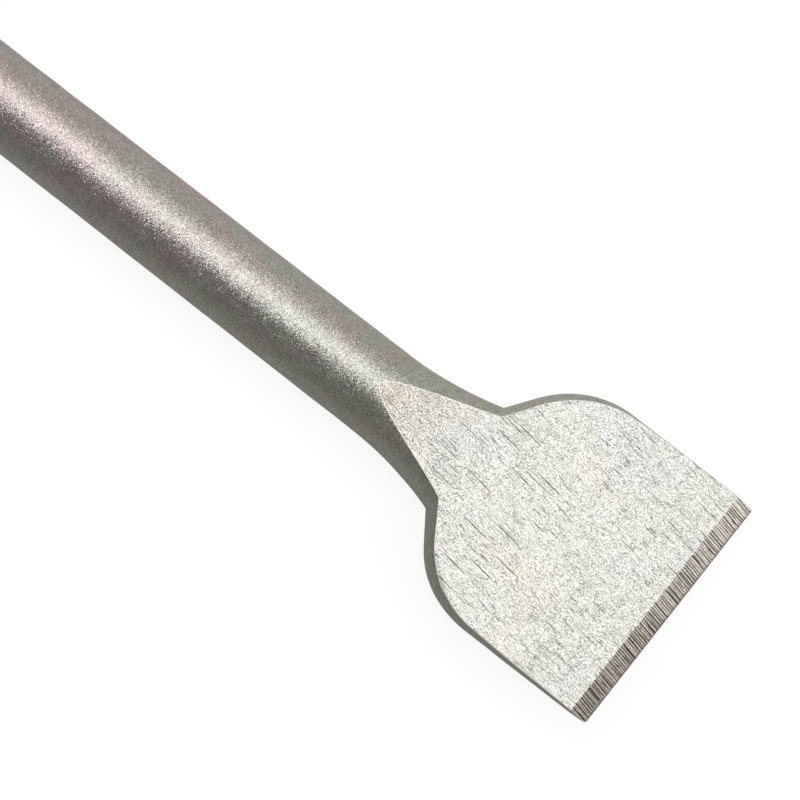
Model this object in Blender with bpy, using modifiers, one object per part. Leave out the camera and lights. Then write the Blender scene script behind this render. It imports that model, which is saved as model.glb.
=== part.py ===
"""Flat chisel for a rotary hammer drill, forged and ground from one bar of steel.

The chisel lies along X with its cutting edge at +X and its grooved drive shank at -X.
It is built flat, with the blade in the XY plane and the axis on X, and is then rolled
and lifted into the place where it comes to rest on a floor at Z = 0: on the round body
and on one shoulder of the blade. The origin is on the floor, below the middle of the
axis. Sizes are in millimetres and angles in degrees until MM turns them to metres.

Order of making, as in the real thing:
  1. forging: a lofted blank, round body, flared neck and fan-shaped blade
  2. turning: the thinner drive shank with its chamfered striking end
  3. milling: two open drive grooves and two closed lock grooves in the shank
  4. grinding: one sloping flat on each side of the blade, and the two edge bevels
"""

import math

import bmesh
import bpy
import numpy as np
from mathutils import Matrix, Vector

MM = 0.001
COLLECTION_NAME = "flat_chisel_model"
TOOLING_NAME = "flat_chisel_tooling"

# Whole tool
OVERALL_LENGTH = 250.0

# Blade, seen from above
BLADE_WIDTH = 40.0
PARALLEL_LENGTH = 22.6
EDGE_CORNER_RADIUS = 0.5
SHOULDER_RADIUS = 15.1
SHOULDER_ANGLE = 54.8

# Neck between blade and body: the flare grows by this much on each side of the body
NECK_FLARE_RISE = 2.3
NECK_FLARE_RADIUS = 52.0

# Round body, which tapers a little towards the shank
BODY_FRONT_DIAMETER = 13.9
BODY_REAR_DIAMETER = 12.8
REAR_CONE_LENGTH = 4.0
REAR_CONE_END_DIAMETER = 11.2

# Drive shank
SHANK_DIAMETER = 10.0
SHANK_LENGTH = 51.0
SHANK_CHAMFER = 1.0
SHANK_ROOT_DEPTH = 8.0

# Two closed grooves that the locking balls run in
LOCK_GROOVE_RADIUS = 3.5
LOCK_GROOVE_LENGTH = 20.5
LOCK_GROOVE_DEPTH = 1.4
LOCK_GROOVE_SETBACK = 11.5

# Two open grooves that the chuck's drive keys run in
DRIVE_GROOVE_WIDTH = 3.0
DRIVE_GROOVE_DEPTH = 1.7
DRIVE_GROOVE_LENGTH = 30.0
DRIVE_GROOVE_RUNOUT_RADIUS = 12.0

# Ground faces and cutting edge. The grinding is rolled a little about the axis, out of
# line with the forging, so that a face is wider on one side of the neck than on the other
GROUND_FACE_LENGTH = 52.0
HEEL_THICKNESS = 2.5
BEVEL_LENGTH = 2.8
EDGE_LAND = 0.2
GRINDING_ROLL = 1.0

# Exponents of the superellipse sections: 2 is an ellipse, and more is squarer
BODY_EXPONENT = 2.0
NECK_EXPONENT = 2.32
SHOULDER_EXPONENT = 3.3
EDGE_EXPONENT = 3.7

# Fineness of the facets
RING_POINTS = 48
CORNER_STEPS = 3
PARALLEL_STEPS = 5
SHOULDER_STEPS = 12
FLARE_STEPS = 10
TURNED_STEPS = 48
ROUND_END_STEPS = 8
RUNOUT_STEPS = 6
REACH_SAMPLES = 400
HALVINGS = 40
SMOOTH_ANGLE = 32.0
MERGE_DISTANCE = 0.01

# How far a cutter stands clear of what it cuts
CUTTER_MARGIN = 4.0

STEEL_COLOUR = (0.42, 0.41, 0.39, 1.0)
STEEL_ROUGHNESS = 0.42


def clear_scene():
    """Removes every object, so that the script gives the same result each run."""
    for old in list(bpy.data.objects):
        bpy.data.objects.remove(old, do_unlink=True)


def new_collection(name):
    """Makes a collection and links it to the scene."""
    collection = bpy.data.collections.new(name)
    bpy.context.scene.collection.children.link(collection)
    return collection


def steel_material():
    """Shot-blasted and ground tool steel."""
    material = bpy.data.materials.new("tool_steel")
    material.use_nodes = True
    shader = material.node_tree.nodes["Principled BSDF"]
    shader.inputs["Base Color"].default_value = STEEL_COLOUR
    shader.inputs["Metallic"].default_value = 1.0
    shader.inputs["Roughness"].default_value = STEEL_ROUGHNESS
    return material


def body_radius():
    """The body's radius at its front, which is also half the height of the forging."""
    return BODY_FRONT_DIAMETER / 2


def shoulder_turn():
    """Angle that the shoulder's arc turns through before its straight, or the neck, begins."""
    neck_half_width = body_radius() + NECK_FLARE_RISE
    room = (BLADE_WIDTH / 2 - neck_half_width) / SHOULDER_RADIUS
    turn_to_neck = math.acos(max(1 - room, -1.0))
    return min(math.radians(SHOULDER_ANGLE), turn_to_neck)


def edge_corner_outline():
    """Rounded corner of the cutting edge: (setback from the edge, half width) pairs."""
    turns = np.linspace(0, math.pi / 2, CORNER_STEPS + 1)
    setback = EDGE_CORNER_RADIUS * (1 - np.cos(turns))
    half_width = BLADE_WIDTH / 2 - EDGE_CORNER_RADIUS * (1 - np.sin(turns))
    return list(zip(setback, half_width))


def parallel_outline():
    """Straight sides of the blade, up to where its shoulders begin."""
    setback = np.linspace(EDGE_CORNER_RADIUS, PARALLEL_LENGTH, PARALLEL_STEPS + 1)[1:]
    return [(place, BLADE_WIDTH / 2) for place in setback]


def shoulder_outline():
    """Shoulder arc, then the straight down to the corner where the neck begins."""
    turns = np.linspace(0, shoulder_turn(), SHOULDER_STEPS + 1)[1:]
    setback = PARALLEL_LENGTH + SHOULDER_RADIUS * np.sin(turns)
    half_width = BLADE_WIDTH / 2 - SHOULDER_RADIUS * (1 - np.cos(turns))
    points = list(zip(setback, half_width))
    neck_half_width = body_radius() + NECK_FLARE_RISE
    drop = half_width[-1] - neck_half_width
    if drop > MERGE_DISTANCE:
        points.append((setback[-1] + drop / math.tan(turns[-1]), neck_half_width))
    return points


def flare_outline(neck_corner):
    """Hollow arc from the neck corner back to the body, which it meets smoothly."""
    widest_turn = math.acos(1 - NECK_FLARE_RISE / NECK_FLARE_RADIUS)
    turns = np.linspace(widest_turn, 0, FLARE_STEPS + 1)[1:]
    tangent_setback = neck_corner + NECK_FLARE_RADIUS * math.sin(widest_turn)
    setback = tangent_setback - NECK_FLARE_RADIUS * np.sin(turns)
    half_width = body_radius() + NECK_FLARE_RADIUS * (1 - np.cos(turns))
    return list(zip(setback, half_width))


def blade_outline():
    """Whole curved half outline, from the cutting edge back to the round body."""
    points = edge_corner_outline() + parallel_outline() + shoulder_outline()
    return points + flare_outline(points[-1][0])


def neck_corner_setback():
    """Distance from the cutting edge to the corner between shoulder and neck."""
    return shoulder_outline()[-1][0]


def body_front_setback():
    """Distance from the cutting edge to where the body is round."""
    return blade_outline()[-1][0]


def section_exponent(setback):
    """Exponent of the section there: round at the body and squarer towards the edge."""
    places = [0.0, PARALLEL_LENGTH, neck_corner_setback(), body_front_setback()]
    exponents = [EDGE_EXPONENT, SHOULDER_EXPONENT, NECK_EXPONENT, BODY_EXPONENT]
    return float(np.interp(setback, places, exponents))


def section_ring(half_width, half_height, exponent):
    """Points round the superellipse |y/a|^n + |z/b|^n = 1, anticlockwise seen from +X."""
    turns = np.arange(RING_POINTS) * (2 * math.pi / RING_POINTS)
    power = 2 / exponent
    across = half_width * np.sign(np.cos(turns)) * np.abs(np.cos(turns)) ** power
    up = half_height * np.sign(np.sin(turns)) * np.abs(np.sin(turns)) ** power
    return across, up


def forging_stations():
    """(place on X, half width, half height, exponent) of each ring, from the edge backwards."""
    front = OVERALL_LENGTH / 2
    half_height = body_radius()
    stations = []
    for setback, half_width in blade_outline():
        stations.append((front - setback, half_width, half_height, section_exponent(setback)))
    cone_end = -OVERALL_LENGTH / 2 + SHANK_LENGTH
    rear_radius = BODY_REAR_DIAMETER / 2
    cone_end_radius = REAR_CONE_END_DIAMETER / 2
    stations.append((cone_end + REAR_CONE_LENGTH, rear_radius, rear_radius, BODY_EXPONENT))
    stations.append((cone_end, cone_end_radius, cone_end_radius, BODY_EXPONENT))
    return stations


def link_mesh(name, mesh, collection, material):
    """Puts a mesh into the scene as an object, with the steel material."""
    thing = bpy.data.objects.new(name, mesh)
    mesh.materials.append(material)
    collection.objects.link(thing)
    return thing


def loft_forging(name, collection, material):
    """Lofts the forged blank through its sections, which go from round to almost square."""
    built = bmesh.new()
    rings = []
    for place, half_width, half_height, exponent in forging_stations():
        across, up = section_ring(half_width, half_height, exponent)
        ring = [built.verts.new((place * MM, y * MM, z * MM)) for y, z in zip(across, up)]
        rings.append(ring)
    for front_ring, rear_ring in zip(rings, rings[1:]):
        for index in range(RING_POINTS):
            after = (index + 1) % RING_POINTS
            corners = (front_ring[index], front_ring[after], rear_ring[after], rear_ring[index])
            built.faces.new(corners)
    built.faces.new(rings[0])
    built.faces.new(rings[-1])
    bmesh.ops.recalc_face_normals(built, faces=built.faces)
    mesh = bpy.data.meshes.new(name)
    built.to_mesh(mesh)
    built.free()
    mesh.shade_smooth()
    mesh.set_sharp_from_angle(angle=math.radians(SMOOTH_ANGLE))
    return link_mesh(name, mesh, collection, material)


def turned_piece(name, profile, collection, material):
    """Turns a (radius, height) profile, given top to bottom, about Z, then lays +Z along -X."""
    mesh = bpy.data.meshes.new(name)
    points = [(radius * MM, 0.0, height * MM) for radius, height in profile]
    edges = [(index, index + 1) for index in range(len(points) - 1)]
    mesh.from_pydata(points, edges, [])
    thing = link_mesh(name, mesh, collection, material)
    screw = thing.modifiers.new("turned", "SCREW")
    screw.axis = "Z"
    screw.steps = TURNED_STEPS
    screw.render_steps = TURNED_STEPS
    screw.use_merge_vertices = True
    screw.merge_threshold = MERGE_DISTANCE * MM
    screw.use_smooth_shade = True
    thing.rotation_euler = (0.0, -math.pi / 2, 0.0)
    return thing


def turn_shank(collection, material):
    """Turned drive shank: chamfered striking end, and a root that reaches into the body."""
    radius = SHANK_DIAMETER / 2
    striking_end = OVERALL_LENGTH / 2
    root = striking_end - SHANK_LENGTH - SHANK_ROOT_DEPTH
    profile = [
        (0.0, striking_end),
        (radius - SHANK_CHAMFER, striking_end),
        (radius, striking_end - SHANK_CHAMFER),
        (radius, root),
        (0.0, root),
    ]
    return turned_piece("shank_blank", profile, collection, material)


def lock_groove_cutter(side, collection, material):
    """Round-ended cutter for one closed groove, above the axis for side 1 and below for -1."""
    radius = LOCK_GROOVE_RADIUS
    near_end = OVERALL_LENGTH / 2 - LOCK_GROOVE_SETBACK
    top_centre = near_end - radius
    low_centre = near_end - LOCK_GROOVE_LENGTH + radius
    turns = np.linspace(0, math.pi / 2, ROUND_END_STEPS + 1)
    top_end = [(radius * math.sin(turn), top_centre + radius * math.cos(turn)) for turn in turns]
    low_end = [(radius * math.cos(turn), low_centre - radius * math.sin(turn)) for turn in turns]
    cutter = turned_piece(f"lock_groove_cutter_{side}", top_end + low_end, collection, material)
    cutter_axis_height = SHANK_DIAMETER / 2 - LOCK_GROOVE_DEPTH + radius
    cutter.location.z = side * cutter_axis_height * MM
    return cutter


def drive_groove_outline():
    """Side view of one open groove's cutter: (place on X, height over the axis) pairs."""
    floor = SHANK_DIAMETER / 2 - DRIVE_GROOVE_DEPTH
    roof = SHANK_DIAMETER / 2 + CUTTER_MARGIN
    rear = -OVERALL_LENGTH / 2 - CUTTER_MARGIN
    front = -OVERALL_LENGTH / 2 + DRIVE_GROOVE_LENGTH
    rise = roof - floor
    widest_turn = math.acos(max(1 - rise / DRIVE_GROOVE_RUNOUT_RADIUS, 0.0))
    points = [(rear, roof), (rear, floor)]
    for turn in np.linspace(0, widest_turn, RUNOUT_STEPS + 1):
        forward = DRIVE_GROOVE_RUNOUT_RADIUS * math.sin(turn)
        lift = DRIVE_GROOVE_RUNOUT_RADIUS * (1 - math.cos(turn))
        points.append((front + forward, floor + lift))
    if floor + DRIVE_GROOVE_RUNOUT_RADIUS < roof:
        points.append((front + DRIVE_GROOVE_RUNOUT_RADIUS, roof))
    return points


def drive_groove_cutter(side, collection, material):
    """Flat cutter for one open groove, towards +Y for side 1 and towards -Y for -1."""
    curve = bpy.data.curves.new(f"drive_groove_outline_{side}", "CURVE")
    curve.dimensions = "2D"
    curve.fill_mode = "BOTH"
    curve.extrude = DRIVE_GROOVE_WIDTH / 2 * MM
    curve.render_resolution_u = 0
    outline = drive_groove_outline()
    spline = curve.splines.new("POLY")
    spline.points.add(len(outline) - 1)
    for point, (along, out) in zip(spline.points, outline):
        point.co = (along * MM, side * out * MM, 0.0, 1.0)
    spline.use_cyclic_u = True
    guide = bpy.data.objects.new(f"drive_groove_guide_{side}", curve)
    collection.objects.link(guide)
    seen = guide.evaluated_get(bpy.context.evaluated_depsgraph_get())
    mesh = bpy.data.meshes.new_from_object(seen)
    bpy.data.objects.remove(guide, do_unlink=True)
    built = bmesh.new()
    built.from_mesh(mesh)
    bmesh.ops.remove_doubles(built, verts=built.verts, dist=MERGE_DISTANCE * MM)
    bmesh.ops.recalc_face_normals(built, faces=built.faces)
    built.to_mesh(mesh)
    built.free()
    return link_mesh(f"drive_groove_cutter_{side}", mesh, collection, material)


def grinding_cutter(name, heel, slope, side, collection, material):
    """Box whose lower face is the plane ground through the heel line, rising backwards.

    heel is (place on X, height over the axis) of a line across the blade, slope is the
    plane's angle to the axis, and side is 1 for the top of the blade and -1 for the bottom.
    """
    length = OVERALL_LENGTH
    depth = BLADE_WIDTH
    built = bmesh.new()
    bmesh.ops.create_cube(built, size=1.0)
    bmesh.ops.scale(built, vec=Vector((length, 2 * BLADE_WIDTH, depth)) * MM, verts=built.verts)
    bmesh.ops.translate(built, vec=Vector((0.0, 0.0, depth / 2)) * MM, verts=built.verts)
    mesh = bpy.data.meshes.new(name)
    built.to_mesh(mesh)
    built.free()
    cutter = link_mesh(name, mesh, collection, material)
    half_turn = 0.0 if side > 0 else math.pi
    around = Matrix.Rotation(half_turn + math.radians(GRINDING_ROLL), 4, "X")
    place = Matrix.Translation(Vector((heel[0], 0.0, heel[1])) * MM)
    cutter.matrix_world = around @ place @ Matrix.Rotation(slope, 4, "Y")
    return cutter


def face_slope():
    """Angle between the axis and a ground face."""
    return math.atan((body_radius() - HEEL_THICKNESS / 2) / GROUND_FACE_LENGTH)


def bevel_slope():
    """Angle between the axis and an edge bevel."""
    return math.atan((HEEL_THICKNESS - EDGE_LAND) / 2 / BEVEL_LENGTH)


def ground_height(setback):
    """Half thickness that the ground faces leave on the axis, a distance back from the edge."""
    return HEEL_THICKNESS / 2 + (setback - BEVEL_LENGTH) * math.tan(face_slope())


def join(target, other, operation):
    """Adds an exact Boolean to the target."""
    cut = target.modifiers.new(other.name, "BOOLEAN")
    cut.operation = operation
    cut.solver = "EXACT"
    cut.object = other


def as_tooling(thing):
    """Marks an object as a cutter or a joined blank that is not part of the model."""
    thing.hide_render = True
    thing.display_type = "WIRE"


def shoulder_reach(roll):
    """Furthest that the shoulders reach below the axis when the chisel is rolled."""
    deepest = 0.0
    half_height = body_radius()
    depths = np.linspace(0.0, half_height, REACH_SAMPLES)
    for setback, half_width in shoulder_outline() + parallel_outline():
        exponent = section_exponent(setback)
        across = half_width * (1 - (depths / half_height) ** exponent) ** (1 / exponent)
        ground_depth = ground_height(setback) - across * math.tan(math.radians(GRINDING_ROLL))
        left = depths <= ground_depth
        down = across[left] * math.sin(roll) + depths[left] * math.cos(roll)
        deepest = max(deepest, float(down.max()))
    return deepest


def resting_roll():
    """Roll at which a shoulder touches the floor that the round body lies on."""
    low, high = 0.0, math.pi / 3
    for _ in range(HALVINGS):
        middle = (low + high) / 2
        if shoulder_reach(middle) < body_radius():
            low = middle
        else:
            high = middle
    return low


def build_chisel():
    """Forges, turns, mills and grinds the chisel, and lays it down."""
    clear_scene()
    model = new_collection(COLLECTION_NAME)
    tooling = new_collection(TOOLING_NAME)
    steel = steel_material()

    chisel = loft_forging("flat_chisel", model, steel)
    shank = turn_shank(tooling, steel)
    join(chisel, shank, "UNION")

    front = OVERALL_LENGTH / 2
    heel = (front - BEVEL_LENGTH, HEEL_THICKNESS / 2)
    cutters = []
    for side in (1, -1):
        cutters.append(lock_groove_cutter(side, tooling, steel))
        cutters.append(drive_groove_cutter(side, tooling, steel))
        cutters.append(
            grinding_cutter(f"face_cutter_{side}", heel, face_slope(), side, tooling, steel)
        )
        cutters.append(
            grinding_cutter(f"bevel_cutter_{side}", heel, bevel_slope(), side, tooling, steel)
        )
    for cutter in cutters:
        join(chisel, cutter, "DIFFERENCE")

    lay_down = Matrix.Translation(Vector((0.0, 0.0, body_radius())) * MM)
    lay_down = lay_down @ Matrix.Rotation(-resting_roll(), 4, "X")
    for tool in [shank] + cutters:
        as_tooling(tool)
        tool.matrix_world = lay_down @ tool.matrix_basis
    chisel.matrix_world = lay_down


build_chisel()
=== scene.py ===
"""Looks of a wide flat chisel for a rotary hammer drill, lying on a pale studio floor.

The chisel is one piece of steel with five finishes: a shot-blasted forging, two broad
ground faces with a burnished rim, two edge bevels with coarse grinding lines, and a
turned drive shank. Its skin is one closed mesh, worked out ring by ring along the tool's
axis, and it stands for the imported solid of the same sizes. Lengths inside the classes
are millimetres, except where a class says metres.
"""

import logging
import math
from dataclasses import dataclass, field
from enum import Enum
from functools import partial
from typing import Callable

import bmesh
import bpy
import numpy as np
from mathutils import Matrix, Vector

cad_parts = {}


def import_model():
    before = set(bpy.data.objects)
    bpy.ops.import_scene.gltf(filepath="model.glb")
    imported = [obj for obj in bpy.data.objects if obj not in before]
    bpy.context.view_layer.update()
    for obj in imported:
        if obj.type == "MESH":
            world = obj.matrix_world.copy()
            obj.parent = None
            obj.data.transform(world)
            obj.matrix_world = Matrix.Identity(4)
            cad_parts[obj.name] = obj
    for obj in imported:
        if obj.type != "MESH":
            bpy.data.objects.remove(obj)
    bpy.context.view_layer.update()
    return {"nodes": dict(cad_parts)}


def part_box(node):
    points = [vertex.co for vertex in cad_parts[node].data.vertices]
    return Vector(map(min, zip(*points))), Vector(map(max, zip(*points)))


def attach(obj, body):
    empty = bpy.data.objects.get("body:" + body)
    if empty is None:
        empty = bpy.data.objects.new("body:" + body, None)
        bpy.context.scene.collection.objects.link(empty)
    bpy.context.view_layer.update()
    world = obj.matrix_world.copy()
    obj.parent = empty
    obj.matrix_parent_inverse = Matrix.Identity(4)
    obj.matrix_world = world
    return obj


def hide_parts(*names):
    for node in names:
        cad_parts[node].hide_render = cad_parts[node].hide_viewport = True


MM = 0.001
SOLID_NODE = "flat_chisel"
Socket = bpy.types.NodeSocket
Adder = Callable[..., Socket]
Pair = tuple[float, float]
# Settings that many nodes share.
BLEND = {"data_type": "RGBA"}
MULTIPLY = {"data_type": "RGBA", "blend_type": "MULTIPLY"}
SMOOTH = {"interpolation_type": "SMOOTHSTEP"}
log = logging.getLogger("flat_chisel")


class Finish(Enum):
    """Finishes of the steel, in the order of the skin's material slots."""

    FORGED = 0
    FACE = 1
    BEVEL = 2
    RIM = 3
    TURNED = 4


def linear(hex_colour: str) -> tuple[float, float, float, float]:
    """Turns an sRGB hex colour into a linear RGBA one, by the standard's own curve.

    Args:
        hex_colour: Six hex digits, with or without a leading hash.

    Returns:
        Linear red, green and blue, and an alpha of 1.
    """
    digits = hex_colour.lstrip("#")
    parts = [int(digits[place : place + 2], 16) / 255 for place in (0, 2, 4)]
    light = [part / 12.92 if part <= 0.04045 else ((part + 0.055) / 1.055) ** 2.4 for part in parts]
    return (light[0], light[1], light[2], 1.0)


def add_node(
    tree: bpy.types.NodeTree, kind: str, inputs: dict | None = None, out: int | str = 0, **settings: object
) -> Socket | None:
    """Adds a node to a tree, with its settings and its inputs.

    Args:
        tree: The node tree that gets the node.
        kind: The node's type name.
        inputs: For each input's name or number, a value or an output socket to link.
        out: Name or number of the output that is wanted.
        **settings: Properties of the node itself.

    Returns:
        That output's socket, or None for a node without outputs.
    """
    node = tree.nodes.new(kind)
    for name, value in settings.items():
        setattr(node, name, value)
    for key, value in (inputs or {}).items():
        if isinstance(value, Socket):
            tree.links.new(value, node.inputs[key])
        else:
            node.inputs[key].default_value = value
    return node.outputs[out] if node.outputs else None


@dataclass(frozen=True)
class ChiselSizes:
    """Sizes of the chisel in millimetres and degrees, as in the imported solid.

    The ground face is drawn 0.5 mm shorter and the forging's sections a little squarer
    than the solid's, because that is how the light shows them.
    """

    length: float = 250.0
    blade_width: float = 40.0
    parallel_length: float = 22.6
    edge_corner_radius: float = 0.5
    shoulder_radius: float = 15.1
    shoulder_angle: float = 54.8
    flare_rise: float = 2.3
    flare_radius: float = 52.0
    body_front_diameter: float = 13.9
    body_rear_diameter: float = 12.8
    rear_cone_length: float = 4.0
    rear_cone_end_diameter: float = 11.2
    shank_diameter: float = 10.0
    shank_length: float = 51.0
    shank_chamfer: float = 1.0
    lock_groove_radius: float = 3.5
    lock_groove_length: float = 20.5
    lock_groove_depth: float = 1.4
    lock_groove_setback: float = 11.5
    drive_groove_width: float = 3.0
    drive_groove_depth: float = 1.7
    drive_groove_length: float = 30.0
    drive_groove_runout: float = 12.0
    ground_face_length: float = 51.5
    heel_thickness: float = 2.5
    bevel_length: float = 2.8
    edge_land: float = 0.2
    grinding_roll: float = 1.0
    body_exponent: float = 2.0
    neck_exponent: float = 2.8
    shoulder_exponent: float = 3.6
    edge_exponent: float = 4.2

    @property
    def body_radius(self) -> float:
        """Radius of the body at its front, and half the height of the forging."""
        return self.body_front_diameter / 2

    @property
    def neck_half_width(self) -> float:
        """Half width at the corner between the shoulders and the neck."""
        return self.body_radius + self.flare_rise

    @property
    def shoulder_end(self) -> Pair:
        """Place where a shoulder's arc ends and its straight begins.

        Returns:
            Setback and half width there.
        """
        turn = math.radians(self.shoulder_angle)
        setback = self.parallel_length + self.shoulder_radius * math.sin(turn)
        return setback, self.blade_width / 2 - self.shoulder_radius * (1 - math.cos(turn))

    @property
    def neck_corner(self) -> float:
        """Corner between the shoulders and the neck.

        Returns:
            Its setback.
        """
        setback, half_width = self.shoulder_end
        slope = math.tan(math.radians(self.shoulder_angle))
        return setback + (half_width - self.neck_half_width) / slope

    @property
    def body_front(self) -> float:
        """Setback where the flare has become the round body."""
        widest = math.acos(1 - self.flare_rise / self.flare_radius)
        return self.neck_corner + self.flare_radius * math.sin(widest)

    @property
    def apex(self) -> float:
        """Setback of the point where a ground face begins."""
        return self.bevel_length + self.ground_face_length

    @property
    def cone_end(self) -> float:
        """Setback of the step between the rear cone and the drive shank."""
        return self.length - self.shank_length

    @property
    def face_slope(self) -> float:
        """Rise of a ground face for each millimetre back from the heel."""
        return (self.body_radius - self.heel_thickness / 2) / self.ground_face_length

    @property
    def bevel_slope(self) -> float:
        """Rise of an edge bevel for each millimetre back from the cutting edge."""
        return (self.heel_thickness - self.edge_land) / 2 / self.bevel_length


class Waves:
    """Smooth seeded relief: a sum of sine waves whose directions and phases are random."""

    def __init__(self, seed: int, wavelengths: Pair, stretch: tuple[float, ...], count: int = 24) -> None:
        """Draws the waves.

        Args:
            seed: Seed of the random draws.
            wavelengths: Shortest and longest wave, in millimetres.
            stretch: How many times longer the waves are along each axis.
            count: Number of waves.
        """
        draw = np.random.default_rng(seed)
        heading = draw.normal(size=(count, len(stretch)))
        heading /= np.linalg.norm(heading, axis=1, keepdims=True)
        length = draw.uniform(*wavelengths, size=(count, 1))
        self.number = 2 * math.pi * heading / length / np.array(stretch)
        self.phase = draw.uniform(0, 2 * math.pi, size=count)
        self.scale = math.sqrt(2 / count)

    def at(self, *places: np.ndarray) -> np.ndarray:
        """Height of the relief: the sum of sin(k . p + phase) over the waves.

        Args:
            *places: Arrays with each coordinate of the places.

        Returns:
            The height at each place, with a spread of about 1.
        """
        total = np.zeros(np.broadcast(*places).shape)
        for number, phase in zip(self.number, self.phase):
            total += np.sin(sum(k * place for k, place in zip(number, places)) + phase)
        return total * self.scale


@dataclass
class ChiselSkin:
    """The chisel's whole surface, as rings of points across the tool's axis.

    Each ring runs over the top from +Y to -Y, down one side, back under the bottom and up
    the other side. Where a band of it has no width, such as a ground face behind its
    apex, its points fall together and are merged when the mesh is made.
    """

    # Cells of a ring, and the halvings that find a ground face's edge.
    sizes: ChiselSizes = field(default_factory=ChiselSizes)
    top_cells: int = 80
    side_cells: int = 64
    slot_side_cells: int = 4
    slot_floor_cells: int = 12
    bevel_split: int = 9
    halvings: int = 48
    # Rim beside a ground face, and the unevenness of edges, walls and faces.
    rim_width: float = 0.12
    rim_share: float = 0.25
    rim_drop: float = 0.015
    calm_run: float = 4.0
    wobble: float = 0.035
    wobble_waves: Pair = (7.0, 22.0)
    dent: float = 0.018
    dent_waves: Pair = (3.0, 9.0)
    dent_stretch: tuple[float, float, float] = (1.6, 1.0, 1.0)
    dent_count: int = 40
    face_relief: float = 0.004
    face_waves: Pair = (1.6, 5.0)
    face_stretch: Pair = (3.0, 1.0)
    face_calm_run: float = 2.0
    # Grinding lines of the bevels, the hair lines between them, and single deep scores.
    groove_depth: float = 0.045
    groove_lean: float = 8.5
    line_step: float = 0.02
    line_level: float = 0.38
    line_pitch: Pair = (0.15, 0.24)
    line_high: Pair = (0.55, 1.0)
    line_low: Pair = (0.0, 0.12)
    line_share: float = 0.85
    hair_pitch: float = 0.11
    hair_share: float = 0.3
    level_samples: int = 40
    score_pitch: float = 0.8
    score_shift: float = 0.3
    score_width: Pair = (0.045, 0.065)
    score_depth: Pair = (0.75, 0.95)
    score_begin: Pair = (-1.5, 0.9)
    score_end_shift: float = 1.2
    score_fade: float = 0.3
    # Spacing of the rings, and how close they lie to the places where the form turns.
    heel_step: float = 0.18
    heel_gap: float = 0.5
    blade_step: float = 0.55
    apex_gap: Pair = (1.4, 1.8)
    body_step: float = 1.35
    cone_gap: float = 0.8
    shank_step: float = 0.8
    slot_fade: float = 6.0
    joint_gap: float = 0.02
    before_apex: tuple[float, ...] = (0.004, 0.03, 0.1, 0.22, 0.4, 0.65, 1.0)
    behind_apex: tuple[float, ...] = (0.0, 0.4, 1.0)
    about_cone: tuple[float, ...] = (-0.5, 0.0, 0.5, 2.0, 4.0)
    from_groove: tuple[float, ...] = (0.0, 0.01, 0.05, 0.14, 0.3, 0.6, 1.0)
    corner_turns: tuple[float, ...] = (60.0, 36.0, 16.0, 0.0)
    bevel_stops: int = 7
    # What sets the forging and its grinding a little askew.
    corner_lean: float = 1.05
    corner_spread: float = 5.0
    shoulder_shift: float = 0.2
    shoulder_middle: float = 33.0
    shoulder_spread: float = 5.5
    edge_skew: float = 0.37
    skew_run: float = 12.0
    seed: int = 11

    def half_width(self, setback: np.ndarray) -> np.ndarray:
        """Half width of the forging, seen from above.

        From the cutting edge backwards: a corner arc, a parallel stretch, the shoulder's
        arc and its straight, the hollow arc of the neck, and the tapering body.

        Args:
            setback: Distance of each ring behind the cutting edge.

        Returns:
            The half width of each ring.
        """
        z = self.sizes
        half = z.blade_width / 2
        corner = z.edge_corner_radius
        in_corner = np.clip(corner - setback, 0, corner)
        width = half - corner + np.sqrt(corner**2 - in_corner**2)
        arc_end, arc_width = z.shoulder_end
        along_arc = np.clip(setback - z.parallel_length, 0, arc_end - z.parallel_length)
        arc = half - z.shoulder_radius + np.sqrt(z.shoulder_radius**2 - along_arc**2)
        width = np.where(setback > z.parallel_length, arc, width)
        straight = arc_width - (setback - arc_end) * math.tan(math.radians(z.shoulder_angle))
        width = np.where(setback > arc_end, straight, width)
        along_flare = np.clip(z.body_front - setback, 0, z.body_front - z.neck_corner)
        flare = z.body_radius + z.flare_radius - np.sqrt(z.flare_radius**2 - along_flare**2)
        width = np.where(setback > z.neck_corner, flare, width)
        return np.where(setback > z.body_front, self.half_height(setback), width)

    def half_height(self, setback: np.ndarray) -> np.ndarray:
        """Half height of the forging: constant to the body's front, then two tapers.

        Args:
            setback: Distance of each ring behind the cutting edge.

        Returns:
            The half height of each ring.
        """
        z = self.sizes
        places = [z.body_front, z.cone_end - z.rear_cone_length, z.cone_end]
        radii = [z.body_radius, z.body_rear_diameter / 2, z.rear_cone_end_diameter / 2]
        return np.interp(setback, places, radii)

    def exponent(self, setback: np.ndarray) -> np.ndarray:
        """Exponent of the superellipse section: round at the body, squarer at the edge.

        Args:
            setback: Distance of each ring behind the cutting edge.

        Returns:
            The exponent of each ring.
        """
        z = self.sizes
        places = [0.0, z.parallel_length, z.neck_corner, z.body_front]
        values = [z.edge_exponent, z.shoulder_exponent, z.neck_exponent, z.body_exponent]
        return np.interp(setback, places, values)

    def ground_level(self, setback: np.ndarray) -> np.ndarray:
        """Half thickness that grinding leaves: the lower of the face and bevel planes.

        Args:
            setback: Distance of each ring behind the cutting edge.

        Returns:
            The half thickness of each ring.
        """
        z = self.sizes
        face = z.heel_thickness / 2 + (setback - z.bevel_length) * z.face_slope
        bevel = z.edge_land / 2 + setback * z.bevel_slope
        return np.minimum(face, bevel)

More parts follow.
